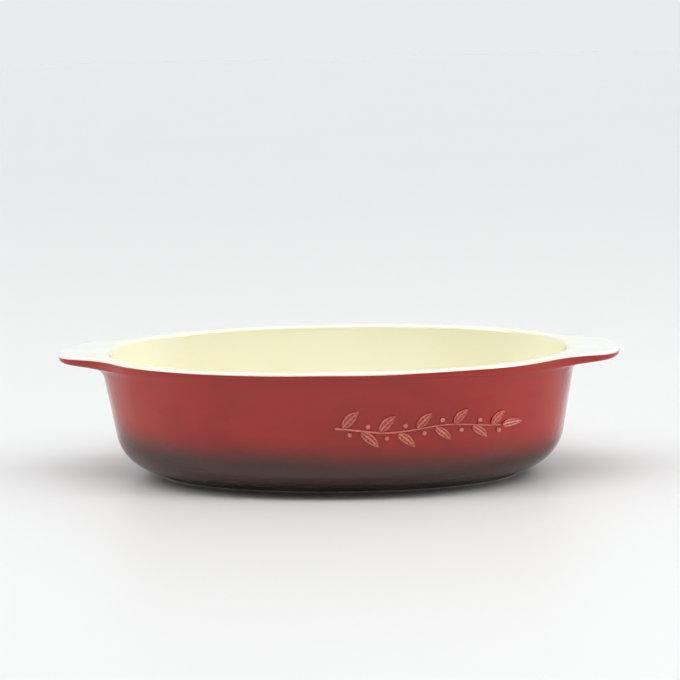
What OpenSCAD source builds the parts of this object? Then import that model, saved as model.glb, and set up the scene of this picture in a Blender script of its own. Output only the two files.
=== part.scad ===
// Oval stoneware baking dish with two lug handles.
//
// The dish is one fired piece. Its nodes are what it was made from: the clay bowl, the two clay
// lugs, the bare foot ring, the applied leaf sprig, and the coats of glaze that cover them.
// Origin: middle of the foot, on the table. +X runs along the handles, -Y is the front, +Z is up.
//
// Every surface is swept round the oval along the same set of horizontal rays. Most rays fan out
// from two points on the X axis, and those between the two points run straight along Y. A station
// is a list of [radius along the ray, height], one for each ray of a quarter turn. A loft joins
// the rings that a list of stations gives.

/* [Bowl] */
// Length over the two handles
overall_l = 360; // [345:1:375]
// Length of the rim without the handles
rim_l = 309; // [300:1:316]
// Width of the rim
rim_w = 210; // [196:1:220]
// Height from the table to the top of the rim
height = 81; // [73:1:91]
// Exponent of the oval: 2 is an ellipse, and more is squarer
oval_n = 2.16; // [2:0.02:2.4]
// Slope of the wall, as inset for each millimetre down
wall_taper = 0.173; // [0.12:0.001:0.2]
// Horizontal thickness of the wall, glaze included
wall_t = 6.6; // [5.5:0.1:8]
// Thickness of the floor, glaze included
floor_t = 6.8; // [5.5:0.1:9]

/* [Corner and foot] */
// Height at which the outer wall starts to turn under
outer_turn_z = 27; // [24:1:33]
// Height at which the inner wall starts to turn into the floor
inner_turn_z = 35; // [33:1:43]
// Inset of the foot from the edge of the rim
foot_inset = 36.5; // [34:0.5:40]
// Height of the foot
foot_h = 4.2; // [3.8:0.1:5]
// Width of the foot ring
foot_w = 6; // [5:0.5:8]
// Bare clay that shows below the glaze on the foot
bare_h = 1.2; // [0.8:0.1:1.6]

/* [Rim and handles] */
// How far the lip stands out from the wall
lip = 1; // [0.6:0.1:1.6]
// Half width of a lug
lug_half_w = 35; // [30:1:38]
// Length of a lug's rounded end
lug_end_l = 30; // [28:1:32]
// Size of the hollow curve where a lug runs into the rim
lug_blend = 24; // [16:1:25]
// Height of the lip's edge half way along the dish
lip_edge_h = 3.8; // [3.6:0.1:4.2]
// Height of a lug's edge near the bowl
lug_edge_h = 7.2; // [6:0.1:8]
// Height of a lug's edge at its tip
tip_edge_h = 5.4; // [4.8:0.1:6.2]

/* [Glaze] */
// Thickness of a coat of glaze
glaze_t = 0.5; // [0.4:0.05:0.7]
// Depth of the dark overspray at the foot
spray_t = 0.2; // [0.15:0.01:0.25]
// Height that the overspray reaches
spray_top_z = 43; // [41:1:46]

/* [Leaf sprig] */
// Middle of the sprig along X
sprig_x = 57; // [50:1:62]
// Middle of the sprig above the table
sprig_z = 45; // [44:1:47]
// Half the length of the stem
sprig_half_l = 50; // [46:1:52]
// Length of the longest leaf
leaf_l = 15; // [11:0.5:16]
// How far the leaves stand out from the glaze
leaf_h = 1.2; // [0.8:0.1:1.5]

/* [Hidden] */

CLAY = [0.78, 0.69, 0.56];
CREAM = [0.95, 0.93, 0.79];
RED = [0.60, 0.16, 0.12];
DARK = [0.16, 0.11, 0.10];
PINK = [0.75, 0.33, 0.28];

// Rim and wall
inner_lip = lip + wall_t;       // inset of the inner wall's line at the top of the rim
rim_round = 2.8;                // radius of the rim's inner edge
edge_round = 2;                 // radius of the top of the outer edge
under_round = 1.4;              // radius of the bottom of the outer edge
lug_under_round = 1.2;          // what a lug adds to that radius
glaze_line = 76;                // angle round the edge where the cream stops and the red starts
under_drop = 3;                 // from the lip's edge down to where it meets the wall
lug_drop = 6.5;                 // what a lug adds to that
lug_swell = 12;                 // how far out an edge has all that a lug adds
swell_x = 40;                   // where the edge starts to thicken towards a lug, along X
swell_l = 95;                   // length over which it thickens
thinning_x = 140;               // where the edge starts to thin towards a lug's tip
corner_m = 1.95;                // exponent of the outer corner
inner_corner_m = 2;             // exponent of the inner corner
recess_drop = 0.6;              // how far the recess reaches below the top of the foot
recess_z = foot_h - recess_drop;        // underside of the dish inside the foot ring
floor_z = recess_z + floor_t;
clay_base_z = recess_z + glaze_t;
foot_set_back = 0.8;            // step from the corner in to the foot's upright face
foot_face_inset = foot_inset + foot_set_back;
inner_corner_w = 22;            // how far the inner corner reaches in
outer_corner_w = foot_inset - lip - wall_taper * (height - foot_h);

// Rays of a quarter turn, as [start on the X axis, direction in X, direction in Y]
fan_x = 88;                     // the two fans' centres
FAN = [0, 8, 14, 19, 23, 27, 31, 36, 43, 53, 65, 77, 90];
ACROSS = [66, 44, 22, 0];
RAYS = concat(
    [for (a = FAN) [fan_x, cos(a), sin(a)]],
    [for (x = ACROSS) [x, 0, 1]]
);
Q = len(RAYS) - 1;              // the last ray of the quarter
RING = 4 * Q;                   // points in a ring
FAR = 200;                      // further out than any surface
STEPS = 28;                     // halvings in a search along a ray

// ---- The oval and the outline of the rim with its lugs ----

function oval_power(x, y, a, b, n) = pow(abs(x) / a, n) + pow(abs(y) / b, n);

// Distance from a superellipse, near its edge: negative inside it
function oval_gap(x, y, a, b, n) =
    let (
        rho = pow(oval_power(x, y, a, b, n), 1 / n),
        gx = pow(abs(x) / a, n - 1) / a,
        gy = pow(abs(y) / b, n - 1) / b,
        slope = pow(rho, 1 - n) * norm([gx, gy])
    )
    (rho - 1) / slope;

// The smaller of two distances, blended over k where they are close
function soft_min(a, b, k) =
    let (h = max(k - abs(a - b), 0) / k)
    min(a, b) - h * h * k / 4;

function oval_search(ray, a, b, lo, hi, n) =
    n == 0 ? (lo + hi) / 2 :
    let (mid = (lo + hi) / 2, out = oval_power(ray[0] + mid * ray[1], mid * ray[2], a, b, oval_n) > 1)
    oval_search(ray, a, b, out ? lo : mid, out ? mid : hi, n - 1);

// Radius along ray q of the oval that lies inset from the edge of the rim
function oval_r(q, inset) = oval_search(RAYS[q], rim_l / 2 - inset, rim_w / 2 - inset, 0, FAR, STEPS);

function outline_gap(x, y) =
    soft_min(
        oval_gap(x, y, rim_l / 2, rim_w / 2, oval_n),
        oval_gap(x - overall_l / 2 + lug_end_l, y, lug_end_l, lug_half_w, 3),
        lug_blend
    );

function outline_search(ray, lo, hi, n) =
    n == 0 ? (lo + hi) / 2 :
    let (mid = (lo + hi) / 2, out = outline_gap(ray[0] + mid * ray[1], mid * ray[2]) > 0)
    outline_search(ray, out ? lo : mid, out ? mid : hi, n - 1);

LIP_EDGE = [for (q = [0:Q]) oval_r(q, 0)];
FULL_EDGE = [for (q = [0:Q]) outline_search(RAYS[q], LIP_EDGE[q] - 1, LIP_EDGE[q] + 60, STEPS)];
REACH = FULL_EDGE - LIP_EDGE;   // how far the lug stands out beyond the lip

// The bowl keeps this much of a lug's root, and the lug starts outside it
root_reach = 0.4;
BOWL_EDGE = [for (q = [0:Q]) LIP_EDGE[q] + min(REACH[q], root_reach)];
LUG_RAYS = max([for (q = [0:Q]) REACH[q] > root_reach ? q : 0]);

function smooth(t) = let (c = min(max(t, 0), 1)) c * c * (3 - 2 * c);

// Height of the outer edge: thin half way along the dish, thickest where a lug leaves the bowl
function edge_h(q) =
    let (
        x = RAYS[q][0] + FULL_EDGE[q] * RAYS[q][1],
        rise = smooth((x - swell_x) / swell_l),
        fall = smooth((x - thinning_x) / (overall_l / 2 - thinning_x))
    )
    lip_edge_h + (lug_edge_h - lip_edge_h) * rise - (lug_edge_h - tip_edge_h) * fall;

// 0 on the lip and 1 on a lug, where its edge stands well out
function lug_share(q, edge) = smooth((edge[q] - LIP_EDGE[q]) / lug_swell);

function under_r(q, edge) = under_round + lug_under_round * lug_share(q, edge);

// ---- Stations ----
// off is how deep a surface lies under the finished one: 0 is the face of the glaze, and glaze_t
// the clay. edge is the list of radii that the rim's outer edge follows.

function station(inset, z) = [for (q = [0:Q]) [oval_r(q, inset), z]];

function inner_inset(z) = inner_lip + wall_taper * (height - z);

function outer_inset(z) = lip + wall_taper * (height - z);

// The inside, from the edge of the floor up to the rounded inner edge of the rim
function inner_corner(off) = [
    for (a = [90:-18:0])
    let (
        t = 1 - pow(cos(a), 2 / inner_corner_m),
        z = inner_turn_z - (inner_turn_z - floor_z) * pow(sin(a), 2 / inner_corner_m)
    )
    station(inner_inset(z) + inner_corner_w * t - off * cos(a), z - off * sin(a))
];

function inner_rim(off) =
    let (r = rim_round - off, z = height - rim_round, inset = inner_inset(z) - rim_round)
    [for (a = [0:30:90]) station(inset + r * cos(a), z + r * sin(a))];

// The top of the outer edge, from the flat of the rim to the angle where the colours meet
function upper_edge(off, edge) =
    [for (a = [0:glaze_line / 2:glaze_line]) edge_point(off, edge, a)];

function edge_point(off, edge, a) = [
    for (q = [0:Q]) [
        edge[q] - edge_round + (edge_round - off) * sin(a),
        height - edge_round + (edge_round - off) * cos(a)
    ]
];

// The outer edge below that angle, and round to its underside
function lower_edge(off, edge) = concat(
    [edge_point(off, edge, 90)],
    [
        for (a = [0:45:90]) [
            for (q = [0:Q])
            let (r = under_r(q, edge))
            [edge[q] - r + (r - off) * cos(a), height - edge_h(q) + r - (r - off) * sin(a)]
        ]
    ]
);

// The hollow curve under the lip or lug, from its edge in to the wall
function underside(off, edge) = [
    for (a = [25, 45, 65, 90]) [
        for (q = [0:Q])
        let (
            full = lug_share(q, edge),
            m = 2 + 0.4 * full,
            out = 1 - pow(sin(a), 2 / m),
            down = 1 - pow(cos(a), 2 / m),
            z = height - edge_h(q) - down * (under_drop + lug_drop * full),
            wall = oval_r(q, outer_inset(z) + off),
            span = edge[q] - under_r(q, edge) - oval_r(q, outer_inset(height - edge_h(q)))
        )
        [wall + span * out, z + off * (1 - down)]
    ]
];

function outer_corner(off) = [
    for (a = [0:15:90])
    let (
        t = 1 - pow(cos(a), 2 / corner_m),
        z = outer_turn_z - (outer_turn_z - foot_h) * pow(sin(a), 2 / corner_m)
    )
    station(outer_inset(z) + outer_corner_w * t + off * cos(a), z + off * sin(a))
];

function foot_face(off, low) = [for (z = [clay_base_z, low]) station(foot_face_inset + off, z)];

// ---- Lofts ----

// A station's ring: the quarter's rays mirrored into the other three
function ring(st) = [
    for (k = [0:RING - 1])
    let (
        q = k <= Q ? k : k <= 2 * Q ? 2 * Q - k : k <= 3 * Q ? k - 2 * Q : RING - k,
        sx = k <= Q || k > 3 * Q ? 1 : -1,
        sy = k <= 2 * Q ? 1 : -1,
        ray = RAYS[q],
        r = st[q][0]
    )
    [sx * (ray[0] + r * ray[1]), sy * r * ray[2], st[q][1]]
];

function strip(a, b, count, last) = [
    for (k = [0:last])
    let (n = (k + 1) % count)
    each [[a + k, b + n, b + k], [a + k, a + n, b + n]]
];

function flat_cap(first, count) = [for (k = [0:count - 1]) first + k];

function backwards(list) = [for (i = [len(list) - 1:-1:0]) list[i]];

// A closed solid through a list of stations. The ends are closed with flat caps, or joined to
// each other when the stations go all the way round a section.
module loft(stations, joined = false) {
    count = len(stations);
    points = [for (st = stations) each ring(st)];
    sides = [
        for (i = [0:count - (joined ? 1 : 2)])
        each strip(i * RING, ((i + 1) % count) * RING, RING, RING - 1)
    ];
    caps = joined ? [] : [
        backwards(flat_cap(0, RING)),
        flat_cap((count - 1) * RING, RING)
    ];
    polyhedron(points = points, faces = concat(sides, caps));
}

// ---- Clay ----

// The clay of the rim's outer edge, from its flat top round to the wall
function clay_edge(edge) =
    concat(upper_edge(glaze_t, edge), lower_edge(glaze_t, edge), underside(glaze_t, edge));

module bowl_body() {
    color(CLAY)
    loft(concat(
        inner_corner(glaze_t),
        inner_rim(glaze_t),
        clay_edge(BOWL_EDGE),
        outer_corner(glaze_t),
        [station(foot_face_inset + glaze_t, clay_base_z)]
    ));
}

// The section of a lug on ray q: round its own edge, then back along the bowl's
function lug_section(q) = [
    for (st = concat(clay_edge(FULL_EDGE), backwards(clay_edge(BOWL_EDGE)))) st[q]
];

module lug() {
    sections = [for (q = [0:LUG_RAYS]) lug_section(q)];
    size = len(sections[0]);
    last = 2 * LUG_RAYS;
    points = [
        for (k = [-LUG_RAYS:LUG_RAYS])
        for (p = sections[abs(k)])
        let (ray = RAYS[abs(k)])
        [ray[0] + p[0] * ray[1], sign(k) * p[0] * ray[2], p[1]]
    ];
    sides = [for (i = [0:last - 1]) each strip((i + 1) * size, i * size, size, size - 1)];
    ends = [flat_cap(0, size), backwards(flat_cap(last * size, size))];
    color(CLAY)
    polyhedron(points = points, faces = concat(sides, ends));
}

module right_handle() {
    lug();
}

module left_handle() {
    rotate([0, 0, 180])
    lug();
}

module foot_ring() {
    color(CLAY)
    linear_extrude(height = clay_base_z)
    difference() {
        polygon(flat_ring(foot_face_inset + glaze_t));
        polygon(flat_ring(foot_face_inset + foot_w));
    }
}

function flat_ring(inset) = [for (p = ring(station(inset, 0))) [p[0], p[1]]];

// ---- Glaze ----

module liner_glaze() {
    face = concat(inner_corner(0), inner_rim(0), upper_edge(0, FULL_EDGE));
    back = concat(inner_corner(glaze_t), inner_rim(glaze_t), upper_edge(glaze_t, FULL_EDGE));
    color(CREAM)
    loft(concat(face, backwards(back)));
}

// The red coat lies under the overspray from spray_top_z down
function red_face() = concat(
    [edge_point(0, FULL_EDGE, glaze_line)],
    lower_edge(0, FULL_EDGE),
    underside(0, FULL_EDGE),
    [station(outer_inset(spray_top_z), spray_top_z)],
    outer_corner(spray_t),
    foot_face(spray_t, bare_h)
);

function clay_face() = concat(
    [edge_point(glaze_t, FULL_EDGE, glaze_line)],
    lower_edge(glaze_t, FULL_EDGE),
    underside(glaze_t, FULL_EDGE),
    outer_corner(glaze_t),
    foot_face(glaze_t, bare_h)
);

module outer_glaze() {
    color(RED)
    loft(concat(red_face(), backwards(clay_face())), joined = true);
}

module base_overspray() {
    face = concat([station(outer_inset(spray_top_z), spray_top_z)], outer_corner(0), foot_face(0, bare_h));
    back = concat(outer_corner(spray_t), foot_face(spray_t, bare_h));
    color(DARK)
    loft(concat(face, backwards(back)), joined = true);
}

module underside_glaze() {
    color(DARK)
    translate([0, 0, recess_z])
    linear_extrude(height = glaze_t)
    polygon(flat_ring(foot_face_inset + foot_w));
}

// ---- Leaf sprig ----
// The sprig lies on the front wall. Its places are [u, v], along and above its own middle.

sink = 0.05;                    // how far the relief is bedded in the glaze
stem_w = 1.7;                   // width of the stem
stem_wave = 1.6;                // how far the stem waves up and down
stem_turns = 5.2;               // degrees of the wave for each millimetre
stem_rings = 24;
shoulder = 0.8;                 // height of the relief's shoulder, as a share of its own height
crown = 0.62;                   // size of the ring at a dome's shoulder, as a share of its outline
berry_r = 1.6;
leaf_gap = 11;                  // spacing of the leaves along the stem
leaf_turn = 44;                 // angle between a leaf and the stem
leaf_count = 9;
leaf_taper = 0.03;              // how much shorter each leaf is, as a share of the first
leaf_width = 0.21;              // half the width of a leaf, as a share of its length

WALL_LOW = ring(station(outer_inset(spray_top_z), spray_top_z));
WALL_TOP = ring(underside(0, FULL_EDGE)[3]);

// A point of the front wall seen from the front at x, z, moved forward by out
function on_wall(x, z, out) =
    let (
        line = [
            for (q = [0:Q])
            let (low = WALL_LOW[q], top = WALL_TOP[q])
            low + (top - low) * (z - low[2]) / (top[2] - low[2])
        ],
        q = max([for (k = [0:Q - 1]) line[k][0] >= x ? k : 0]),
        t = (line[q][0] - x) / (line[q][0] - line[q + 1][0]),
        edge = line[q + 1] - line[q],
        n = [-edge[1], edge[0], 0] / norm([edge[0], edge[1]])
    )
    [x, -line[q][1] - t * edge[1], z] + out * [-n[0], n[1], -wall_taper];

function sprig_point(u, v, out) = on_wall(sprig_x + u, sprig_z + v, out);

function stem_v(u) = stem_wave * sin(u * stem_turns);

// A closed dome over an outline, a list of [along, across] about the place u, v
module dome(outline, middle, u, v, turn, h) {
    count = len(outline);
    place = function (p, out) sprig_point(
        u + p[0] * cos(turn) - p[1] * sin(turn),
        v + p[0] * sin(turn) + p[1] * cos(turn),
        out
    );
    points = concat(
        [for (p = outline) place(p, -sink)],
        [for (p = outline) place(middle + crown * (p - middle), shoulder * h)],
        [place(middle, h), place(middle, -sink)]
    );
    front = [for (k = [0:count - 1]) [2 * count, count + (k + 1) % count, count + k]];
    back = [for (k = [0:count - 1]) [2 * count + 1, k, (k + 1) % count]];
    polyhedron(points = points, faces = concat(strip(count, 0, count, count - 1), front, back));
}

module leaf(u, v, turn, length) {
    stops = [0.12:0.19:0.9];
    half = function (t) leaf_width * length * sin(180 * pow(t, 0.8));
    outline = concat(
        [[0, 0]],
        [for (t = stops) [t * length, -half(t)]],
        [[length, 0]],
        backwards([for (t = stops) [t * length, half(t)]])
    );
    dome(outline, [0.45 * length, 0], u, v, turn, leaf_h);
}

module berry(u, v) {
    outline = [for (a = [0:45:315]) berry_r * [cos(a), sin(a)]];
    dome(outline, [0, 0], u, v, 0, leaf_h);
}

module stem() {
    size = 4;
    points = [
        for (i = [0:stem_rings - 1])
        let (u = sprig_half_l * (2 * i / (stem_rings - 1) - 1), v = stem_v(u), w = stem_w / 2)
        each [
            sprig_point(u, v - w, -sink),
            sprig_point(u, v - 0.5 * w, shoulder * leaf_h),
            sprig_point(u, v + 0.5 * w, shoulder * leaf_h),
            sprig_point(u, v + w, -sink)
        ]
    ];
    body = [for (i = [0:stem_rings - 2]) each strip(i * size, (i + 1) * size, size, size - 1)];
    ends = [backwards(flat_cap(0, size)), flat_cap((stem_rings - 1) * size, size)];
    polyhedron(points = points, faces = concat(body, ends));
}

module leaf_sprig() {
    color(PINK) {
        stem();
        for (i = [0:leaf_count - 1]) {
            side = i % 2 == 0 ? 1 : -1;
            u = -sprig_half_l + 5 + i * leaf_gap;
            leaf(u, stem_v(u) + side * stem_w * 0.65, side * leaf_turn, leaf_l * (1 - leaf_taper * i));
            berry(u + 4.5, stem_v(u + 4.5) - side * (stem_w + berry_r));
        }
        leaf(sprig_half_l + 0.4, stem_v(sprig_half_l), 4, leaf_l * 0.7);
    }
}

bowl_body();
left_handle();
right_handle();
foot_ring();
liner_glaze();
outer_glaze();
base_overspray();
underside_glaze();
leaf_sprig();
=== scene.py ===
"""An oval stoneware baking dish, glazed cream inside and red outside, in a plain studio.

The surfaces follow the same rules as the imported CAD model, with far finer steps. The dish's
shape is worked out in millimetres, and each mesh is scaled to metres when it is made.
"""

import math

import bmesh
import bpy
import numpy as np
from mathutils import Matrix, Vector


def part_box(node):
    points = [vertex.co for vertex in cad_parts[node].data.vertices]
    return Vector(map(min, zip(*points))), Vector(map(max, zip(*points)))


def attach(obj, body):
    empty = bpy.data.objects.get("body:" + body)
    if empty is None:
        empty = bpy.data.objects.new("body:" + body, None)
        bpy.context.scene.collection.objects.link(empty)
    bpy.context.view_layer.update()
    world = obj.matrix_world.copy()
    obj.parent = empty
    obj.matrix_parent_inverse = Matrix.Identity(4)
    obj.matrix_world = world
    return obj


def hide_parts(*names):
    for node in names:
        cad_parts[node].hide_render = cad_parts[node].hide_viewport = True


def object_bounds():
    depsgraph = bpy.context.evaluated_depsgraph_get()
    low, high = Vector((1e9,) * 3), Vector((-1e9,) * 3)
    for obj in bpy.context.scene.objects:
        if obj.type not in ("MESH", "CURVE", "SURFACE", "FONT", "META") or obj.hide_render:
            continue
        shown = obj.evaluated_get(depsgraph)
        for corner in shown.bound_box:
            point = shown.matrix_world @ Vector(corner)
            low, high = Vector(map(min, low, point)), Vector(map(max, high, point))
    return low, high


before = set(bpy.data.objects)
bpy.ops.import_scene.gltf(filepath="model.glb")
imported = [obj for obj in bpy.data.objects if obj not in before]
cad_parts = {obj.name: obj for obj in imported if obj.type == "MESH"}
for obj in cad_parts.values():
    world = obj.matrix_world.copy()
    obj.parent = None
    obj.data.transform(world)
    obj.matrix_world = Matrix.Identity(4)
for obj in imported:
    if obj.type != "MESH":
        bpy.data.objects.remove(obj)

cad_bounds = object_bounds()

MM = 0.001

# ---- Sizes, in millimetres ----
# The overall sizes come from the CAD model. The rest are those that it doesn't show directly.

CAD_HIGH = np.array(cad_bounds[1]) / MM

HALF_L = CAD_HIGH[0]            # to the tip of a lug
RIM_B = CAD_HIGH[1]             # half the rim's width
HEIGHT = CAD_HIGH[2]
GLAZE = 0.5
LIP = 1.0                       # how far the lip stands out from the wall
ROOT = 0.4                      # what the bowl's clay keeps of a lug's root
RIM_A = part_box("bowl_body")[1].x / MM + GLAZE - ROOT
OVAL_N = 2.16                   # exponent of the oval: 2 is an ellipse, and more is squarer
TAPER = 0.173                   # how far the wall moves in for each millimetre down
WALL = 6.6

FOOT_TOP = 4.2                  # height where the outer corner ends
FOOT_INSET = 36.5               # and how far in from the rim that is
FOOT_W = 6.0
FOOT_SET_BACK = 0.8             # from the bottom's edge in to the foot's face
FOOT_ROUND = 0.7
BARE = 1.2                      # height of the clay that is left bare
OUTER_TURN = 27.0               # heights where the wall starts to turn under, and in
INNER_TURN = 35.0
OUTER_M = 1.95                  # exponent of the outer corner
INNER_CORNER_W = 22.0           # width of the inner corner in plan
SPRAY = 0.2                     # thickness of the overspray
SPRAY_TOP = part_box("base_overspray")[1].z / MM
CLAY_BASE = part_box("underside_glaze")[1].z / MM
FLOOR = 10.4                    # height of the inside's floor
FOOT_FACE = FOOT_INSET + FOOT_SET_BACK

LUG_HALF_W = 35.0
LUG_END = 30.0                  # from a lug's middle to its tip
LUG_N = 3                       # exponent of a lug's outline
LUG_BLEND = 24.0                # size of the hollow curve where a lug runs into the rim
RIM_ROUND = 2.8
EDGE_ROUND = 2.0
UNDER_ROUND = 1.4
LIP_EDGE_H = 3.8                # thickness of the edge half way along the dish,
LUG_EDGE_H = 7.2                # where a lug leaves the rim,
TIP_EDGE_H = 5.4                # and at a lug's tip
LUG_UNDER_ROUND = 1.2           # what a lug adds to that radius
UNDER_DROP = 3.0                # depth of the hollow curve under the lip
LUG_DROP = 6.5                  # what a lug adds to that depth
UNDER_M = 2.0                   # exponent of that curve
LUG_M = 0.4                     # what a lug adds to that exponent
GLAZE_LINE = 76.0               # degrees round the edge to where cream meets red
LINE_WANDER = 6.0               # degrees that this line wanders
LUG_SWELL = 12.0                # reach beyond the lip where an edge has all that a lug adds
SWELL_X = 40.0                  # where the edge starts to thicken towards a lug
SWELL_L = 95.0                  # length over which it thickens
THINNING_X = 140.0              # where the edge starts to thin towards a lug's tip
WALL_TOP = HEIGHT - LUG_EDGE_H - UNDER_DROP - LUG_DROP - 1      # just below the lugs' curve
UNEVEN = 0.16                   # how far firing moves the clay
UNEVEN_FROM = 20.0              # height above which it moves that far
WAVE = 6.28                     # radians in a wave, near enough
FAN_X = 88.0                    # the rays fan about two points this far from the middle
SHARP = 40.0                    # degrees between two faces from which their edge is sharp


# ---- Rays ----
# Every ring of points lies on the same rays: fans about two points on the X axis, joined by
# rays that run straight along Y. A ray is kept as in the quarter where x and y are positive,
# with the sides that it really lies on.

def make_rays():
    fan = np.radians(np.concatenate([np.linspace(0, 60, 61), np.linspace(62, 90, 15)]))
    across = np.linspace(FAN_X, 0, 31)[1:]
    start = np.concatenate([np.full(fan.size, FAN_X), across])
    along = np.concatenate([np.cos(fan), np.zeros(across.size)])
    out = np.concatenate([np.sin(fan), np.ones(across.size)])
    last = start.size - 1
    quarter = np.arange(last + 1)
    order = np.concatenate([quarter, quarter[-2::-1], quarter[1:], quarter[-2:0:-1]])
    side_x = np.repeat([1, -1, -1, 1], [last + 1, last, last, last - 1])
    side_y = np.repeat([1, 1, -1, -1], [last + 1, last, last, last - 1])
    return start[order], along[order], out[order], side_x, side_y


START, ALONG, OUT, SIDE_X, SIDE_Y = make_rays()
RING = START.size


def ring(radius, z):
    x = SIDE_X * (START + radius * ALONG)
    y = SIDE_Y * radius * OUT
    return np.column_stack([x, y, np.broadcast_to(z, RING)])


def search(is_outside, low, high):
    """The radius on each ray where is_outside(x, y) turns true."""
    low, high = np.full(RING, low, float), np.full(RING, high, float)
    for _ in range(40):
        middle = (low + high) / 2
        out = is_outside(START + middle * ALONG, middle * OUT)
        low, high = np.where(out, low, middle), np.where(out, middle, high)
    return (low + high) / 2


# ---- The oval and its lugs ----

def oval_power(x, y, a, b, n):
    return (np.abs(x) / a) ** n + (np.abs(y) / b) ** n


def oval_gap(x, y, a, b, n):
    """Distance from a superellipse, near its edge: negative inside it."""
    rho = np.maximum(oval_power(x, y, a, b, n), 1e-9) ** (1 / n)
    slope_x = (np.abs(x) / a) ** (n - 1) / a
    slope_y = (np.abs(y) / b) ** (n - 1) / b
    return (rho - 1) / (rho ** (1 - n) * np.hypot(slope_x, slope_y) + 1e-12)


def soft_min(a, b, k):
    h = np.maximum(k - np.abs(a - b), 0) / k
    return np.minimum(a, b) - h * h * k / 4


def oval_radius(inset):
    a, b = RIM_A - inset, RIM_B - inset
    return search(lambda x, y: oval_power(x, y, a, b, OVAL_N) > 1, 0, 200)


def outside_outline(x, y):
    bowl = oval_gap(x, y, RIM_A, RIM_B, OVAL_N)
    lug = oval_gap(x - HALF_L + LUG_END, y, LUG_END, LUG_HALF_W, LUG_N)
    return soft_min(bowl, lug, LUG_BLEND) > 0


def smooth(t):
    t = np.clip(t, 0, 1)
    return t * t * (3 - 2 * t)


LIP_EDGE = oval_radius(0)
FULL_EDGE = search(outside_outline, LIP_EDGE - 1, LIP_EDGE + 60)
REACH = FULL_EDGE - LIP_EDGE
BOWL_EDGE = LIP_EDGE + np.minimum(REACH, ROOT)


def edge_height():
    """Height of the outer edge: thin half way along, thickest where a lug leaves the bowl."""
    x = START + FULL_EDGE * ALONG
    rise = smooth((x - SWELL_X) / SWELL_L)
    fall = smooth((x - THINNING_X) / (HALF_L - THINNING_X))
    return LIP_EDGE_H + (LUG_EDGE_H - LIP_EDGE_H) * rise - (LUG_EDGE_H - TIP_EDGE_H) * fall


EDGE_H = edge_height()


def lug_share(edge):
    """0 on the lip and 1 on a lug, for each radius of an edge."""
    return smooth((edge - LIP_EDGE) / LUG_SWELL)


def under_radius(edge):
    return UNDER_ROUND + LUG_UNDER_ROUND * lug_share(edge)


def waves(x, y, z, seed):
    """Smooth noise between about -1 and 1, the same on every run."""
    draw = np.random.default_rng(seed)
    total = 0
    for _ in range(6):
        turn, phase, length = draw.uniform(0, 2 * math.pi), draw.uniform(0, 6), draw.uniform(28, 90)
        tilt = draw.uniform(-0.5, 0.5)
        along = x * math.cos(turn) + y * math.sin(turn) + z * tilt
        total = total + np.sin(along * WAVE / length + phase)
    return total / 3


# ---- Stations ----
# off is the depth under the finished surface: 0 is the glaze's face, and GLAZE the clay's.

def inner_inset(z):
    return LIP + WALL + TAPER * (HEIGHT - z)


def outer_inset(z):
    return LIP + TAPER * (HEIGHT - z)


def at_inset(inset, z):
    return ring(oval_radius(inset), z)


def floor_rows(off, steps=9):
    """The floor of the inside, from the middle out to its corner."""
    edge = oval_radius(inner_inset(FLOOR) + INNER_CORNER_W)
    return [ring(edge * i / steps, FLOOR - off) for i in range(steps)]


def inner_wall(off, steps=22):
    rows = []
    for a in np.radians(np.linspace(90, 0, steps)):
        z = INNER_TURN - (INNER_TURN - FLOOR) * math.sin(a)
        inset = inner_inset(z) + INNER_CORNER_W * (1 - math.cos(a))
        rows.append(at_inset(inset - off * math.cos(a), z - off * math.sin(a)))
    for z in np.linspace(INNER_TURN, HEIGHT - RIM_ROUND, 8)[1:-1]:
        rows.append(at_inset(inner_inset(z) - off, z))
    return rows


def inner_rim(off, steps=9):
    z = HEIGHT - RIM_ROUND
    inset = inner_inset(z) - RIM_ROUND
    angles = np.radians(np.linspace(0, 90, steps))
    return [
        at_inset(inset + (RIM_ROUND - off) * math.cos(a), z + (RIM_ROUND - off) * math.sin(a))
        for a in angles
    ]


def rim_top(off, edge, steps=10):
    """The flat of the rim and of the lugs, between their two rounded edges."""
    inner = oval_radius(inner_inset(HEIGHT - RIM_ROUND) - RIM_ROUND)
    outer = edge - EDGE_ROUND
    return [ring(inner + (outer - inner) * i / steps, HEIGHT - off) for i in range(1, steps)]


def edge_point(off, edge, angle):
    angle = np.radians(angle)
    radius = edge - EDGE_ROUND + (EDGE_ROUND - off) * np.sin(angle)
    return ring(radius, HEIGHT - EDGE_ROUND + (EDGE_ROUND - off) * np.cos(angle))


def glaze_line():
    x = SIDE_X * (START + FULL_EDGE * ALONG)
    y = SIDE_Y * FULL_EDGE * OUT
    return GLAZE_LINE + LINE_WANDER * waves(x, y, 0, 5)


LINE = glaze_line()


def upper_edge(off, edge, steps=7):
    return [edge_point(off, edge, LINE * i / (steps - 1)) for i in range(steps)]


def lower_edge(off, edge, steps=6):
    rows = [edge_point(off, edge, LINE + (90 - LINE) * i / 4) for i in range(1, 5)]
    radius = under_radius(edge)
    middle = HEIGHT - EDGE_H + radius
    for t in (0.33, 0.67):
        rows.append(ring(edge - off, HEIGHT - EDGE_ROUND + (middle - HEIGHT + EDGE_ROUND) * t))
    for a in np.radians(np.linspace(0, 90, steps)):
        rows.append(ring(
            edge - radius + (radius - off) * math.cos(a),
            middle - (radius - off) * math.sin(a),
        ))
    return rows


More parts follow.
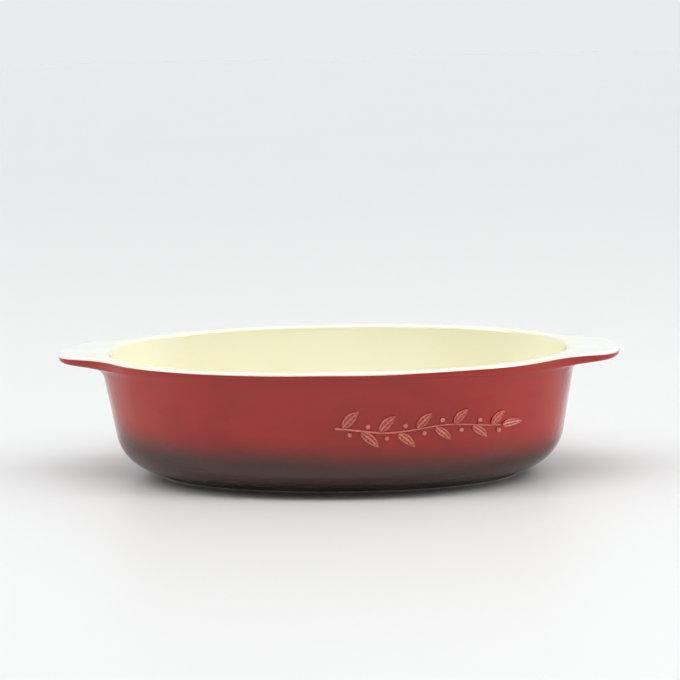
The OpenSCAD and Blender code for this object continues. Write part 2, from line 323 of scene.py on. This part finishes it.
def underside(off, edge, steps=16):
    """The hollow curve under the lip or lug, from its edge in to the wall."""
    full = lug_share(edge)
    m = UNDER_M + LUG_M * full
    z_edge = HEIGHT - EDGE_H
    span = edge - under_radius(edge) - oval_radius(outer_inset(z_edge))
    rows = []
    for a in np.radians(np.linspace(0, 90, steps)[1:]):
        out = 1 - math.sin(a) ** (2 / m)
        down = 1 - max(math.cos(a), 0) ** (2 / m)
        z = z_edge - down * (UNDER_DROP + LUG_DROP * full)
        rows.append(ring(oval_radius(outer_inset(z) + off) + span * out, z + off * (1 - down)))
    return rows


def wall_rows(off, top, low, steps):
    rows = []
    for t in np.linspace(0, 1, steps + 2)[1:-1]:
        z = top + (low - top) * t
        rows.append(ring(oval_radius(outer_inset(z) + off), z))
    return rows


def outer_corner(off, steps=32):
    width = FOOT_INSET - LIP - TAPER * (HEIGHT - FOOT_TOP)
    rows = []
    for a in np.radians(np.linspace(0, 90, steps)):
        turn_in = 1 - max(math.cos(a), 0) ** (2 / OUTER_M)
        z = OUTER_TURN - (OUTER_TURN - FOOT_TOP) * math.sin(a) ** (2 / OUTER_M)
        inset = outer_inset(z) + width * turn_in
        rows.append(at_inset(inset + off * math.cos(a), z + off * math.sin(a)))
    return rows


def foot_face(off, low, steps=4):
    return [at_inset(FOOT_FACE + off, z) for z in np.linspace(CLAY_BASE, low, steps)]


# ---- Meshes ----

def settle(points):
    """Moves points a little in plan, alike on every piece, as drying and firing move clay."""
    x, y, z = points.T
    share = UNEVEN * smooth(z / UNEVEN_FROM)
    moved = points.copy()
    moved[:, 0] += share * waves(x, y, z, 11)
    moved[:, 1] += share * waves(x, y, z, 12)
    return moved


def make_piece(name, points, faces, node, material, extra=None):
    """A mesh object from points in millimetres that replaces a CAD node."""
    mesh = bpy.data.meshes.new(name)
    mesh.from_pydata((settle(points) * MM).tolist(), [], faces)
    if extra is not None:
        layer = mesh.attributes.new(extra[0], "FLOAT", "POINT")
        layer.data.foreach_set("value", np.asarray(extra[1], np.float32))
    shape = bmesh.new()
    shape.from_mesh(mesh)
    bmesh.ops.remove_doubles(shape, verts=shape.verts, dist=1e-7)
    bmesh.ops.recalc_face_normals(shape, faces=shape.faces)
    for face in shape.faces:
        face.smooth = True
    for edge in shape.edges:
        edge.smooth = edge.calc_face_angle(0) < math.radians(SHARP)
    shape.to_mesh(mesh)
    shape.free()
    mesh.materials.append(material)
    piece = bpy.data.objects.new(name, mesh)
    bpy.context.scene.collection.objects.link(piece)
    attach(piece, "root")
    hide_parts(node)


def strip_faces(rows, size, joined=False):
    """Quads between rows of points that each close on themselves, and back to the first row
    if they are joined."""
    faces = []
    for i in range(rows - (0 if joined else 1)):
        a = i * size
        b = ((i + 1) % rows) * size
        for k in range(size):
            n = (k + 1) % size
            faces.append((a + k, b + k, b + n, a + n))
    return faces


def loft(rows, joined=True):
    points = np.vstack(rows)
    return points, strip_faces(len(rows), len(rows[0]), joined=joined)


# ---- Materials ----
# Lengths in a material are in metres.

class Nodes:
    """Short calls for adding shader nodes to one material."""

    def __init__(self, name):
        self.material = bpy.data.materials.new(name)
        self.material.use_nodes = True
        self.tree = self.material.node_tree
        self.tree.nodes.clear()
        self.shader = self.add("ShaderNodeBsdfPrincipled")
        output = self.add("ShaderNodeOutputMaterial")
        self.tree.links.new(self.shader.outputs["BSDF"], output.inputs["Surface"])
        self.place = self.add("ShaderNodeTexCoord").outputs["Object"]

    def add(self, kind):
        return self.tree.nodes.new(kind)

    def put(self, value, socket):
        """A link from a socket, or a plain value."""
        if isinstance(value, bpy.types.NodeSocket):
            self.tree.links.new(value, socket)
        else:
            socket.default_value = value

    def set_shader(self, **values):
        for name, value in values.items():
            self.put(value, self.shader.inputs[name.replace("_", " ")])

    def height_above_floor(self):
        return self.part_of_place("Z")

    def along(self):
        return self.part_of_place("X")

    def part_of_place(self, axis):
        split = self.add("ShaderNodeSeparateXYZ")
        self.put(self.place, split.inputs[0])
        return split.outputs[axis]

    def attribute(self, name):
        node = self.add("ShaderNodeAttribute")
        node.attribute_name = name
        return node.outputs["Fac"]

    def math(self, operation, a, b=0.0):
        node = self.add("ShaderNodeMath")
        node.operation = operation
        self.put(a, node.inputs[0])
        self.put(b, node.inputs[1])
        return node.outputs[0]

    def noise(self, size, detail=3.0, roughness=0.5, stretch=None):
        """Noise between 0 and 1 whose features are about size metres across."""
        node = self.add("ShaderNodeTexNoise")
        node.inputs["Scale"].default_value = 1 / size
        node.inputs["Detail"].default_value = detail
        node.inputs["Roughness"].default_value = roughness
        place = self.place
        if stretch:
            mapping = self.add("ShaderNodeMapping")
            self.put(place, mapping.inputs["Vector"])
            mapping.inputs["Scale"].default_value = stretch
            place = mapping.outputs[0]
        self.put(place, node.inputs["Vector"])
        return node.outputs["Fac"]

    def spots(self, spacing, radius):
        """1 inside small scattered spots, 0 outside them."""
        node = self.add("ShaderNodeTexVoronoi")
        node.inputs["Scale"].default_value = 1 / spacing
        self.put(self.place, node.inputs["Vector"])
        return self.spread(node.outputs["Distance"], radius / spacing, 0.4 * radius / spacing)

    def spread(self, value, low, high, to_low=0.0, to_high=1.0):
        """value mapped from low..high to to_low..to_high, smoothly, and held beyond them."""
        node = self.add("ShaderNodeMapRange")
        node.interpolation_type = "SMOOTHSTEP"
        self.put(value, node.inputs["Value"])
        for socket, number in zip(node.inputs[1:5], (low, high, to_low, to_high)):
            self.put(number, socket)
        return node.outputs[0]

    def mix(self, share, a, b):
        node = self.add("ShaderNodeMix")
        node.data_type = "RGBA"
        self.put(share, node.inputs[0])
        self.put(a, node.inputs[6])
        self.put(b, node.inputs[7])
        return node.outputs[2]

    def bump(self, height, distance, strength=1.0, under=None):
        node = self.add("ShaderNodeBump")
        node.inputs["Strength"].default_value = strength
        node.inputs["Distance"].default_value = distance
        self.put(height, node.inputs["Height"])
        if under is not None:
            self.put(under, node.inputs["Normal"])
        return node.outputs[0]


def rgb(red, green, blue):
    return (red, green, blue, 1.0)


RED = rgb(0.435, 0.012, 0.003)
RED_DEEP = rgb(0.345, 0.006, 0.002)
# deeper red for the band round the lip: thin glaze on the lip, and painted shade under it
RED_LIP_AND_SHADE = rgb(0.400, 0.008, 0.001)
# pale pink of glaze broken thin on raised lines, made lighter as a painted highlight
RED_THIN_AND_HIGHLIGHT = rgb(0.86, 0.27, 0.20)
DARK_BROWN = rgb(0.062, 0.018, 0.012)
GREY_BROWN = rgb(0.110, 0.068, 0.062)
CREAM = rgb(0.94, 0.91, 0.675)
CREAM_PALE = rgb(0.955, 0.93, 0.73)
# darker cream on the rim's top: painted shade that holds down the lamp overhead
CREAM_RIM_SHADE = rgb(0.87, 0.85, 0.70)
# greyer cream on the lugs: painted shade under the lamp overhead, and a painted white sheen
CREAM_LUG_SHEEN_SHADE = rgb(0.83, 0.835, 0.78)
AMBER = rgb(0.66, 0.36, 0.14)
CLAY = rgb(0.82, 0.80, 0.76)
CLAY_DARK = rgb(0.58, 0.55, 0.50)


def red_colour(m):
    """Red glaze with soft patches, and a deeper red band round the top: partly the glaze running
    thin over the edge of the lip, partly painted shade under the lip.
    """
    patches = m.spread(m.noise(0.045, 4, 0.6, stretch=(1, 1, 1.6)), 0.42, 0.66)
    colour = m.mix(m.math("MULTIPLY", patches, 0.55), RED, RED_DEEP)
    specks = m.math("MULTIPLY", m.spots(0.0042, 0.00045), 0.35)
    colour = m.mix(specks, colour, RED_DEEP)
    # deeper red on the lip and in the hollow under it: thin glaze on the lip, and painted shade
    # under it
    lip = m.spread(m.height_above_floor(), (HEIGHT - 6.5) * MM, (HEIGHT - 3.6) * MM, 0.0, 0.8)
    return m.mix(lip, colour, RED_LIP_AND_SHADE)


def glaze_bump(m):
    """The faint waves and fine pitting of a fired glaze."""
    waves_height = m.noise(0.014, 2, 0.4)
    pits = m.noise(0.0011, 2, 0.6)
    under = m.bump(waves_height, 0.0011, 0.10)
    return m.bump(pits, 0.00012, 0.10, under)


def red_glaze():
    m = Nodes("red_glaze")
    m.set_shader(
        Base_Color=red_colour(m),
        Roughness=m.spread(m.noise(0.03, 3), 0.3, 0.7, 0.10, 0.19),
        Normal=glaze_bump(m),
        IOR=1.5,
        Coat_Weight=0.15,
        Coat_Roughness=0.04,
    )
    return m.material


def dark_overspray():
    """Dark glaze sprayed on from below, thinning out upwards until the red shows through.

    It is dark brown where it first hides the red, and greyer towards the foot.
    """
    m = Nodes("dark_overspray")
    hides_red, turns_grey, all_grey = 0.0185, 0.016, 0.004
    cloud = m.math("MULTIPLY", m.math("SUBTRACT", m.noise(0.05, 4, 0.62), 0.5), 0.007)
    mist = m.math("MULTIPLY", m.math("SUBTRACT", m.noise(0.0016, 2, 0.7), 0.5), 0.006)
    lean = m.math("MULTIPLY", m.along(), 0.03)
    z = m.math("ADD", m.height_above_floor(), m.math("ADD", lean, m.math("ADD", cloud, mist)))
    top = SPRAY_TOP * MM
    colour = m.mix(m.spread(z, top - 0.001, hides_red), red_colour(m), DARK_BROWN)
    colour = m.mix(m.spread(m.height_above_floor(), turns_grey, all_grey), colour, GREY_BROWN)
    m.set_shader(
        Base_Color=colour,
        Roughness=m.spread(m.noise(0.03, 3), 0.3, 0.7, 0.12, 0.22),
        Normal=glaze_bump(m),
        IOR=1.5,
        Coat_Weight=0.15,
        Coat_Roughness=0.04,
    )
    return m.material


def cream_glaze():
    """Cream glaze with a few amber specks, darker and greyer on the rim's top as painted shade that
    holds down the lamp overhead, and more so on the lugs, where the greyer tint is also a painted
    white sheen.
    """
    m = Nodes("cream_glaze")
    patches = m.spread(m.noise(0.06, 4, 0.55), 0.35, 0.7)
    colour = m.mix(patches, CREAM, CREAM_PALE)
    # painted shade on the rim's top, and painted shade with a painted white sheen on the lugs
    lug_sheen_shade = m.spread(m.math("ABSOLUTE", m.along()), (RIM_A - 8) * MM, (RIM_A + 4) * MM)
    rim_top_shade = m.spread(m.height_above_floor(), (HEIGHT - 3) * MM, (HEIGHT - 1) * MM)
    colour = m.mix(rim_top_shade, colour, CREAM_RIM_SHADE)
    colour = m.mix(lug_sheen_shade, colour, CREAM_LUG_SHEEN_SHADE)
    specks = m.math("MULTIPLY", m.spots(0.009, 0.00035), 0.35)
    colour = m.mix(specks, colour, AMBER)
    m.set_shader(
        Base_Color=colour,
        Roughness=m.spread(m.noise(0.04, 3), 0.3, 0.7, 0.12, 0.20),
        Normal=glaze_bump(m),
        IOR=1.5,
        Coat_Weight=0.8,
        Coat_Roughness=0.05,
    )
    return m.material


def relief_glaze():
    """Red glaze that breaks to pink on the high lines and pools dark round the foot of them. The
    pink is partly a painted highlight on the raised lines.
    """
    m = Nodes("relief_glaze")
    rise = m.attribute("rise")
    colour = m.mix(m.spread(rise, 0.0, 0.22), RED_DEEP, red_colour(m))
    patches = m.spread(m.noise(0.003, 3), 0.25, 0.7, 0.65, 1.0)
    # pink on the high lines: thin glaze, and a painted highlight
    broken_and_highlight = m.math("MULTIPLY", patches, m.spread(rise, 0.32, 0.95))
    colour = m.mix(broken_and_highlight, colour, RED_THIN_AND_HIGHLIGHT)
    m.set_shader(
        Base_Color=colour,
        Roughness=0.16,
        Normal=glaze_bump(m),
        IOR=1.5,
        Coat_Weight=0.15,
        Coat_Roughness=0.05,
    )
    return m.material


def bare_clay():
    m = Nodes("bare_clay")
    grain = m.noise(0.0009, 4, 0.7)
    colour = m.mix(m.spread(m.noise(0.02, 4, 0.6), 0.3, 0.7, 0.0, 0.5), CLAY, CLAY_DARK)
    colour = m.mix(m.math("MULTIPLY", m.spots(0.0035, 0.0005), 0.7), colour, CLAY_DARK)
    m.set_shader(
        Base_Color=colour,
        Roughness=m.spread(grain, 0.3, 0.7, 0.75, 0.95),
        Normal=m.bump(grain, 0.0004, 0.5),
        IOR=1.45,
    )
    return m.material


def underside_dark():
    m = Nodes("underside_dark")
    thin = m.spread(m.noise(0.035, 4, 0.6), 0.4, 0.75)
    colour = m.mix(m.math("MULTIPLY", thin, 0.5), GREY_BROWN, DARK_BROWN)
    colour = m.mix(m.math("MULTIPLY", m.spots(0.006, 0.0005), 0.6), colour, CLAY_DARK)
    m.set_shader(
        Base_Color=colour,
        Roughness=m.spread(thin, 0.0, 1.0, 0.22, 0.4),
        Normal=glaze_bump(m),
        IOR=1.5,
    )
    return m.material


def studio_floor():
    m = Nodes("studio_floor")
    m.set_shader(
        Base_Color=m.mix(m.noise(0.6, 2), rgb(0.70, 0.705, 0.70), rgb(0.715, 0.72, 0.715)),
        Roughness=0.42,
        IOR=1.4,
    )
    return m.material


# ---- Clay ----

def add_bowl(material):
    rows = floor_rows(GLAZE) + inner_wall(GLAZE) + inner_rim(GLAZE) + rim_top(GLAZE, BOWL_EDGE)
    rows += upper_edge(GLAZE, BOWL_EDGE) + lower_edge(GLAZE, BOWL_EDGE)
    rows += underside(GLAZE, BOWL_EDGE)
    rows += wall_rows(GLAZE, WALL_TOP, OUTER_TURN, 6)
    rows += outer_corner(GLAZE)
    edge = oval_radius(FOOT_FACE + GLAZE)
    rows += [ring(edge * share, CLAY_BASE) for share in np.linspace(1, 0, 8)]
    points, faces = loft(rows, joined=False)
    make_piece("clay_bowl", points, faces, "bowl_body", material)


def add_lug(name, node, side, material):
    """A lug's clay: sections on the rays that it spans, from its own edge back to the bowl's."""
    def outline(edge):
        return upper_edge(GLAZE, edge) + lower_edge(GLAZE, edge) + underside(GLAZE, edge)

    rows = outline(FULL_EDGE) + outline(BOWL_EDGE)[::-1]
    rays = [k for k in range(RING) if REACH[k] > ROOT and SIDE_X[k] == side]
    rays.sort(key=lambda k: SIDE_Y[k] * OUT[k])
    size = len(rows)
    points = np.array([row[k] for k in rays for row in rows])
    faces = strip_faces(len(rays), size)
    last = (len(rays) - 1) * size
    faces += [tuple(range(size)), tuple(range(last + size - 1, last - 1, -1))]
    make_piece(name, points, faces, node, material)


def add_foot(material):
    """The bare ring: flat where it stands, with both its lower edges rubbed round."""
    outer, inner = FOOT_FACE + GLAZE, FOOT_FACE + FOOT_W
    rows = [at_inset(outer, CLAY_BASE), at_inset(outer, BARE)]
    for a in np.radians(np.linspace(0, 90, 5)):
        move_in, z = FOOT_ROUND * (1 - math.cos(a)), FOOT_ROUND * (1 - math.sin(a))
        rows.append(at_inset(outer + move_in, z))
    for a in np.radians(np.linspace(90, 0, 5)):
        move_in, z = FOOT_ROUND * (1 - math.cos(a)), FOOT_ROUND * (1 - math.sin(a))
        rows.append(at_inset(inner - move_in, z))
    rows.append(at_inset(inner, CLAY_BASE))
    points, faces = loft(rows)
    make_piece("clay_foot", points, faces, "foot_ring", material)


# ---- Glaze ----

def add_liner(material):
    def surface(off):
        return (
            floor_rows(off) + inner_wall(off) + inner_rim(off)
            + rim_top(off, FULL_EDGE) + upper_edge(off, FULL_EDGE)
        )

    points, faces = loft(surface(0) + surface(GLAZE)[::-1], joined=False)
    make_piece("cream_liner", points, faces, "liner_glaze", material)


def under_spray(depth=SPRAY, steps=6):
    """The wall from the overspray's thin top edge down, at a depth that grows as it goes."""
    heights = np.linspace(SPRAY_TOP, OUTER_TURN, steps)[:-1]
    return [at_inset(outer_inset(z) + depth * i / (steps - 1), z) for i, z in enumerate(heights)]


def add_outer(material):
    def upper(off):
        rows = [edge_point(off, FULL_EDGE, LINE)] + lower_edge(off, FULL_EDGE)
        return rows + underside(off, FULL_EDGE) + wall_rows(off, WALL_TOP, SPRAY_TOP, 8)

    face = upper(0) + under_spray() + outer_corner(SPRAY) + foot_face(SPRAY, BARE)
    back = upper(GLAZE) + [at_inset(outer_inset(SPRAY_TOP) + GLAZE, SPRAY_TOP)]
    back += outer_corner(GLAZE) + foot_face(GLAZE, BARE)
    points, faces = loft(face + back[::-1])
    make_piece("red_coat", points, faces, "outer_glaze", material)


def add_overspray(material):
    face = under_spray(0) + outer_corner(0) + foot_face(0, BARE)
    back = under_spray()[1:] + outer_corner(SPRAY) + foot_face(SPRAY, BARE)
    points, faces = loft(face + back[::-1])
    make_piece("dark_coat", points, faces, "base_overspray", material)


def add_underside(material):
    edge = oval_radius(FOOT_FACE + FOOT_W)
    low = CLAY_BASE - GLAZE
    shares = np.linspace(0, 1, 9)
    rows = [ring(edge * share, low) for share in shares]
    rows += [ring(edge * share, CLAY_BASE) for share in shares[::-1]]
    points, faces = loft(rows, joined=False)
    make_piece("base_glaze", points, faces, "underside_glaze", material)


# ---- Leaf sprig ----
# Places on the front wall are [u, v], along and above the sprig's middle.

SPRIG_X = 57.0                  # the sprig's middle
SPRIG_Z = 45.0
SPRIG_HALF_L = 50.0
LEAF_L = 15.0
LEAF_H = 1.2
LEAF_WIDTH = 0.215              # half a leaf's width, as a share of its length
LEAF_GAP = 11.0
LEAF_TURN = 44.0                # degrees from the stem's line to a leaf
LEAF_COUNT = 9
LEAF_TAPER = 0.03               # how much shorter each leaf is, as a share of the first
FIRST_LEAF = 5.0                # from the stem's end to the first leaf
TIP_LEAF = 0.8                  # size of the leaf at the tip, as a share of the first
BERRY_AHEAD = 4.5               # from a leaf's root to its berry
STALK_BACK = 1.5                # from a berry back to its stalk's root
STALK_W = 0.8
STALK_H = 0.7
STEM_W = 1.7
BERRY_R = 1.6
SINK = 0.25                     # how far the relief reaches back into the glaze


def on_wall(x, z, out):
    """Points of the front wall seen from the front at x, z, moved out along its normal."""
    a, b = RIM_A - outer_inset(z), RIM_B - outer_inset(z)
    y = b * (1 - (np.abs(x) / a) ** OVAL_N) ** (1 / OVAL_N)
    slope_x = np.sign(x) * (np.abs(x) / a) ** (OVAL_N - 1) / a
    slope_y = (y / b) ** (OVAL_N - 1) / b
    length = np.hypot(slope_x, slope_y)
    normal = np.column_stack([slope_x / length, -slope_y / length, np.full(len(x), -TAPER)])
    normal /= np.linalg.norm(normal, axis=1)[:, None]
    return np.column_stack([x, -y, z]) + out[:, None] * normal


def stem_v(u):
    return 1.6 * np.sin(np.radians(5.2 * u))


class Relief:
    """Collects the closed shells of the sprig, with how far each point rises."""

    def __init__(self):
        self.points, self.faces, self.rise = [], [], []

    def add_sheet(self, u, v, rise):
        """A grid of places, rows by columns, raised by rise and closed at the back."""
        rows, columns = u.shape
        first = sum(len(p) for p in self.points)
        x, z = (SPRIG_X + u).ravel(), (SPRIG_Z + v).ravel()
        height = rise.ravel()
        back = np.full(height.size, -SINK)
        self.points += [on_wall(x, z, height), on_wall(x, z, back)]
        self.rise += [height / LEAF_H, np.zeros(height.size)]
        size = rows * columns
        for i in range(rows - 1):
            for j in range(columns - 1):
                p = first + i * columns + j
                front = (p, p + columns, p + columns + 1, p + 1)
                self.faces += [front, tuple(q + size for q in reversed(front))]
        rim = [(0, j) for j in range(columns - 1)]
        rim += [(i, columns - 1) for i in range(rows - 1)]
        rim += [(rows - 1, j) for j in range(columns - 1, 0, -1)]
        rim += [(i, 0) for i in range(rows - 1, 0, -1)]
        loop = [first + i * columns + j for i, j in rim]
        for here, there in zip(loop, loop[1:] + loop[:1]):
            self.faces.append((here, there, there + size, here + size))


def grid(rows, columns):
    return np.meshgrid(rows, columns, indexing="ij")


def bead(distance, width):
    """The height of a rounded line, from 1 at its middle to 0."""
    return np.exp(-(distance / width) ** 2)


def add_leaf(relief, u, v, turn, length):
    """A leaf with a raised outline and midrib, and a sunken blade with side veins."""
    t, s = grid(np.linspace(0, 1, 33), np.linspace(-1, 1, 23))
    half = LEAF_WIDTH * length * np.sin(math.pi * t ** 0.8) ** 0.85
    across = s * (half + 0.12)
    along = t * length
    blade = 0.34 + 0.16 * (1 - s * s)
    line = bead((np.abs(s) - 0.80), 0.17) * 0.6
    midrib = bead(across, 0.36) * 0.62 * (1 - 0.3 * t)
    vein = bead(((t * 5 - np.abs(s) * 0.9) % 1 - 0.5), 0.16) * 0.20 * (np.abs(s) < 0.8)
    fall = (1 - np.abs(s) ** 10) * smooth(t / 0.06) * smooth((1 - t) / 0.05)
    rise = LEAF_H * np.minimum(blade + line + midrib + vein, 1.0) * fall
    along = along + 0.6 * np.sin(math.pi * t) * s
    across = across + 0.035 * length * np.sin(math.pi * t)
    c, d = math.cos(turn), math.sin(turn)
    relief.add_sheet(u + along * c - across * d, v + along * d + across * c, rise)


def add_berry(relief, u, v, radius):
    share, angle = grid(np.linspace(0.02, 1, 12), np.linspace(0, 2 * math.pi, 25))
    rise = LEAF_H * np.sqrt(np.maximum(1 - share ** 2.4, 0)) * (1 - 0.35 * bead(share, 0.28))
    relief.add_sheet(u + radius * share * np.cos(angle), v + radius * share * np.sin(angle), rise)


def add_stalk(relief, start, end, width, height):
    """A rounded line from start to end, two places on the wall."""
    t, s = grid(np.linspace(0, 1, 9), np.linspace(-1, 1, 9))
    du, dv = end[0] - start[0], end[1] - start[1]
    length = math.hypot(du, dv)
    rise = height * np.sqrt(np.maximum(1 - s * s, 0))
    u = start[0] + du * t - s * width / 2 * dv / length
    v = start[1] + dv * t + s * width / 2 * du / length
    relief.add_sheet(u, v, rise)


def add_stem(relief):
    u, s = grid(np.linspace(-SPRIG_HALF_L, SPRIG_HALF_L, 121), np.linspace(-1, 1, 11))
    share = (u + SPRIG_HALF_L) / (2 * SPRIG_HALF_L)
    width = STEM_W * (1 - 0.4 * share) * (1 + 0.05 * np.sin(u * 1.9))
    ends = smooth(share / 0.012) * smooth((1 - share) / 0.012)
    rise = LEAF_H * (0.92 - 0.25 * share) * np.sqrt(np.maximum(1 - s * s, 0)) * ends
    relief.add_sheet(u, stem_v(u) + s * width / 2, rise)


def add_sprig(material):
    relief = Relief()
    add_stem(relief)
    for i in range(LEAF_COUNT):
        side = 1 if i % 2 == 0 else -1
        u = -SPRIG_HALF_L + FIRST_LEAF + i * LEAF_GAP
        length = LEAF_L * (1 - LEAF_TAPER * i)
        add_leaf(relief, u, stem_v(u) + side * STEM_W * 0.3, math.radians(side * LEAF_TURN), length)
        berry_u = u + BERRY_AHEAD
        berry_v = stem_v(berry_u) - side * (STEM_W + BERRY_R)
        start = (berry_u - STALK_BACK, stem_v(berry_u - STALK_BACK))
        add_stalk(relief, start, (berry_u - 0.2, berry_v), STALK_W, STALK_H)
        add_berry(relief, berry_u, berry_v, BERRY_R)
    add_leaf(relief, SPRIG_HALF_L - 0.6, stem_v(SPRIG_HALF_L), math.radians(4), LEAF_L * TIP_LEAF)
    points = np.vstack(relief.points)
    rise = np.concatenate(relief.rise)
    make_piece(
        "leaf_relief", points, relief.faces, "leaf_sprig", material, ("rise", rise)
    )


# ---- Studio ----

FRONT_LIGHT = 0.12              # strength of the dome in front of the dish
BACK_LIGHT = 0.84               # and behind it
DOME_FRONT, DOME_BACK = -0.4, 0.35      # where it starts to brighten, and where it ends
DOME_COLOUR = (0.975, 0.99, 1.0, 1.0)
SOFTBOX_COLOUR = (1.0, 0.985, 0.965)
FLOOR_HALF = 30.0               # half the studio floor's side, in metres
LAMP = 5.4                      # strength of the long lamp overhead
LAMP_LEAN = 0.22                # radians that it leans to the front
LAMP_STRETCH = 0.21             # its width over its length
LAMP_CORE, LAMP_EDGE = 0.10, 0.22       # where it starts to fade, and where it ends


def add_floor():
    mesh = bpy.data.meshes.new("floor")
    corners = [(x * FLOOR_HALF, y * FLOOR_HALF, 0) for x, y in ((-1, -1), (1, -1), (1, 1), (-1, 1))]
    mesh.from_pydata(corners, [], [(0, 1, 2, 3)])
    mesh.materials.append(studio_floor())
    floor = bpy.data.objects.new("floor", mesh)
    bpy.context.scene.collection.objects.link(floor)


def add_world():
    """A soft white dome behind the dish, dim in front of it, and a long lamp overhead."""
    world = bpy.data.worlds.new("studio")
    bpy.context.scene.world = world
    world.use_nodes = True
    tree = world.node_tree
    background = tree.nodes["Background"]
    background.inputs["Color"].default_value = DOME_COLOUR
    direction = tree.nodes.new("ShaderNodeTexCoord")
    split = tree.nodes.new("ShaderNodeSeparateXYZ")
    tree.links.new(direction.outputs["Generated"], split.inputs[0])

    def ramp(value, low, high, to_low, to_high):
        node = tree.nodes.new("ShaderNodeMapRange")
        node.interpolation_type = "SMOOTHSTEP"
        tree.links.new(value, node.inputs["Value"])
        for socket, number in zip(node.inputs[1:5], (low, high, to_low, to_high)):
            if isinstance(number, bpy.types.NodeSocket):
                tree.links.new(number, socket)
            else:
                socket.default_value = number
        return node.outputs[0]

    dome = ramp(split.outputs["Y"], DOME_FRONT, DOME_BACK, FRONT_LIGHT, BACK_LIGHT)
    offset = tree.nodes.new("ShaderNodeVectorMath")
    offset.operation = "MULTIPLY_ADD"
    tree.links.new(direction.outputs["Generated"], offset.inputs[0])
    offset.inputs[1].default_value = (LAMP_STRETCH, 1, 0)
    offset.inputs[2].default_value = (0, math.sin(LAMP_LEAN), 0)
    distance = tree.nodes.new("ShaderNodeVectorMath")
    distance.operation = "LENGTH"
    tree.links.new(offset.outputs[0], distance.inputs[0])
    lamp = ramp(distance.outputs["Value"], LAMP_EDGE, LAMP_CORE, 0, LAMP)
    total = tree.nodes.new("ShaderNodeMath")
    tree.links.new(dome, total.inputs[0])
    tree.links.new(lamp, total.inputs[1])
    tree.links.new(total.outputs[0], background.inputs["Strength"])


def add_softbox(name, place, target, width, height, power):
    light = bpy.data.lights.new(name, "AREA")
    light.shape = "RECTANGLE"
    light.size, light.size_y = width, height
    light.energy = power
    light.color = SOFTBOX_COLOUR
    softbox = bpy.data.objects.new(name, light)
    softbox.location = place
    softbox.rotation_mode = "QUATERNION"
    softbox.rotation_quaternion = (Vector(target) - Vector(place)).to_track_quat("-Z", "Y")
    bpy.context.scene.collection.objects.link(softbox)


def add_camera():
    """A long lens close to the front, a little above the rim and slightly to the right."""
    azimuth, elevation = math.radians(5.97), math.radians(10.48)
    distance, roll = 1.2935, math.radians(-1.43)
    back = Vector((
        math.sin(azimuth) * math.cos(elevation),
        -math.cos(azimuth) * math.cos(elevation),
        math.sin(elevation),
    ))
    middle = Vector((0, 0, 0.041))
    place = middle + distance * back
    aim = Vector((0.002, 0, 0.0853))
    camera = bpy.data.objects.new("camera", bpy.data.cameras.new("camera"))
    camera.data.lens = 105.88
    camera.data.sensor_width = 36.0
    camera.location = place
    camera.rotation_mode = "QUATERNION"
    look = (aim - place).to_track_quat("-Z", "Y")
    camera.rotation_quaternion = look @ Matrix.Rotation(roll, 3, "Z").to_quaternion()
    bpy.context.scene.collection.objects.link(camera)
    bpy.context.scene.camera = camera


def main():
    clay = bare_clay()
    add_bowl(clay)
    add_lug("clay_lug_left", "left_handle", -1, clay)
    add_lug("clay_lug_right", "right_handle", 1, clay)
    add_foot(clay)
    add_liner(cream_glaze())
    add_outer(red_glaze())
    add_overspray(dark_overspray())
    add_underside(underside_dark())
    add_sprig(relief_glaze())
    add_floor()
    add_world()
    middle = (0, 0, 0.04)
    add_softbox("softbox_left", (-1.3, -0.4, 1.0), middle, 0.7, 0.9, 4.2)
    add_softbox("softbox_right", (1.3, -0.4, 1.0), middle, 0.7, 0.9, 6.8)
    add_camera()
    bpy.context.scene.view_settings.view_transform = "Standard"


main()
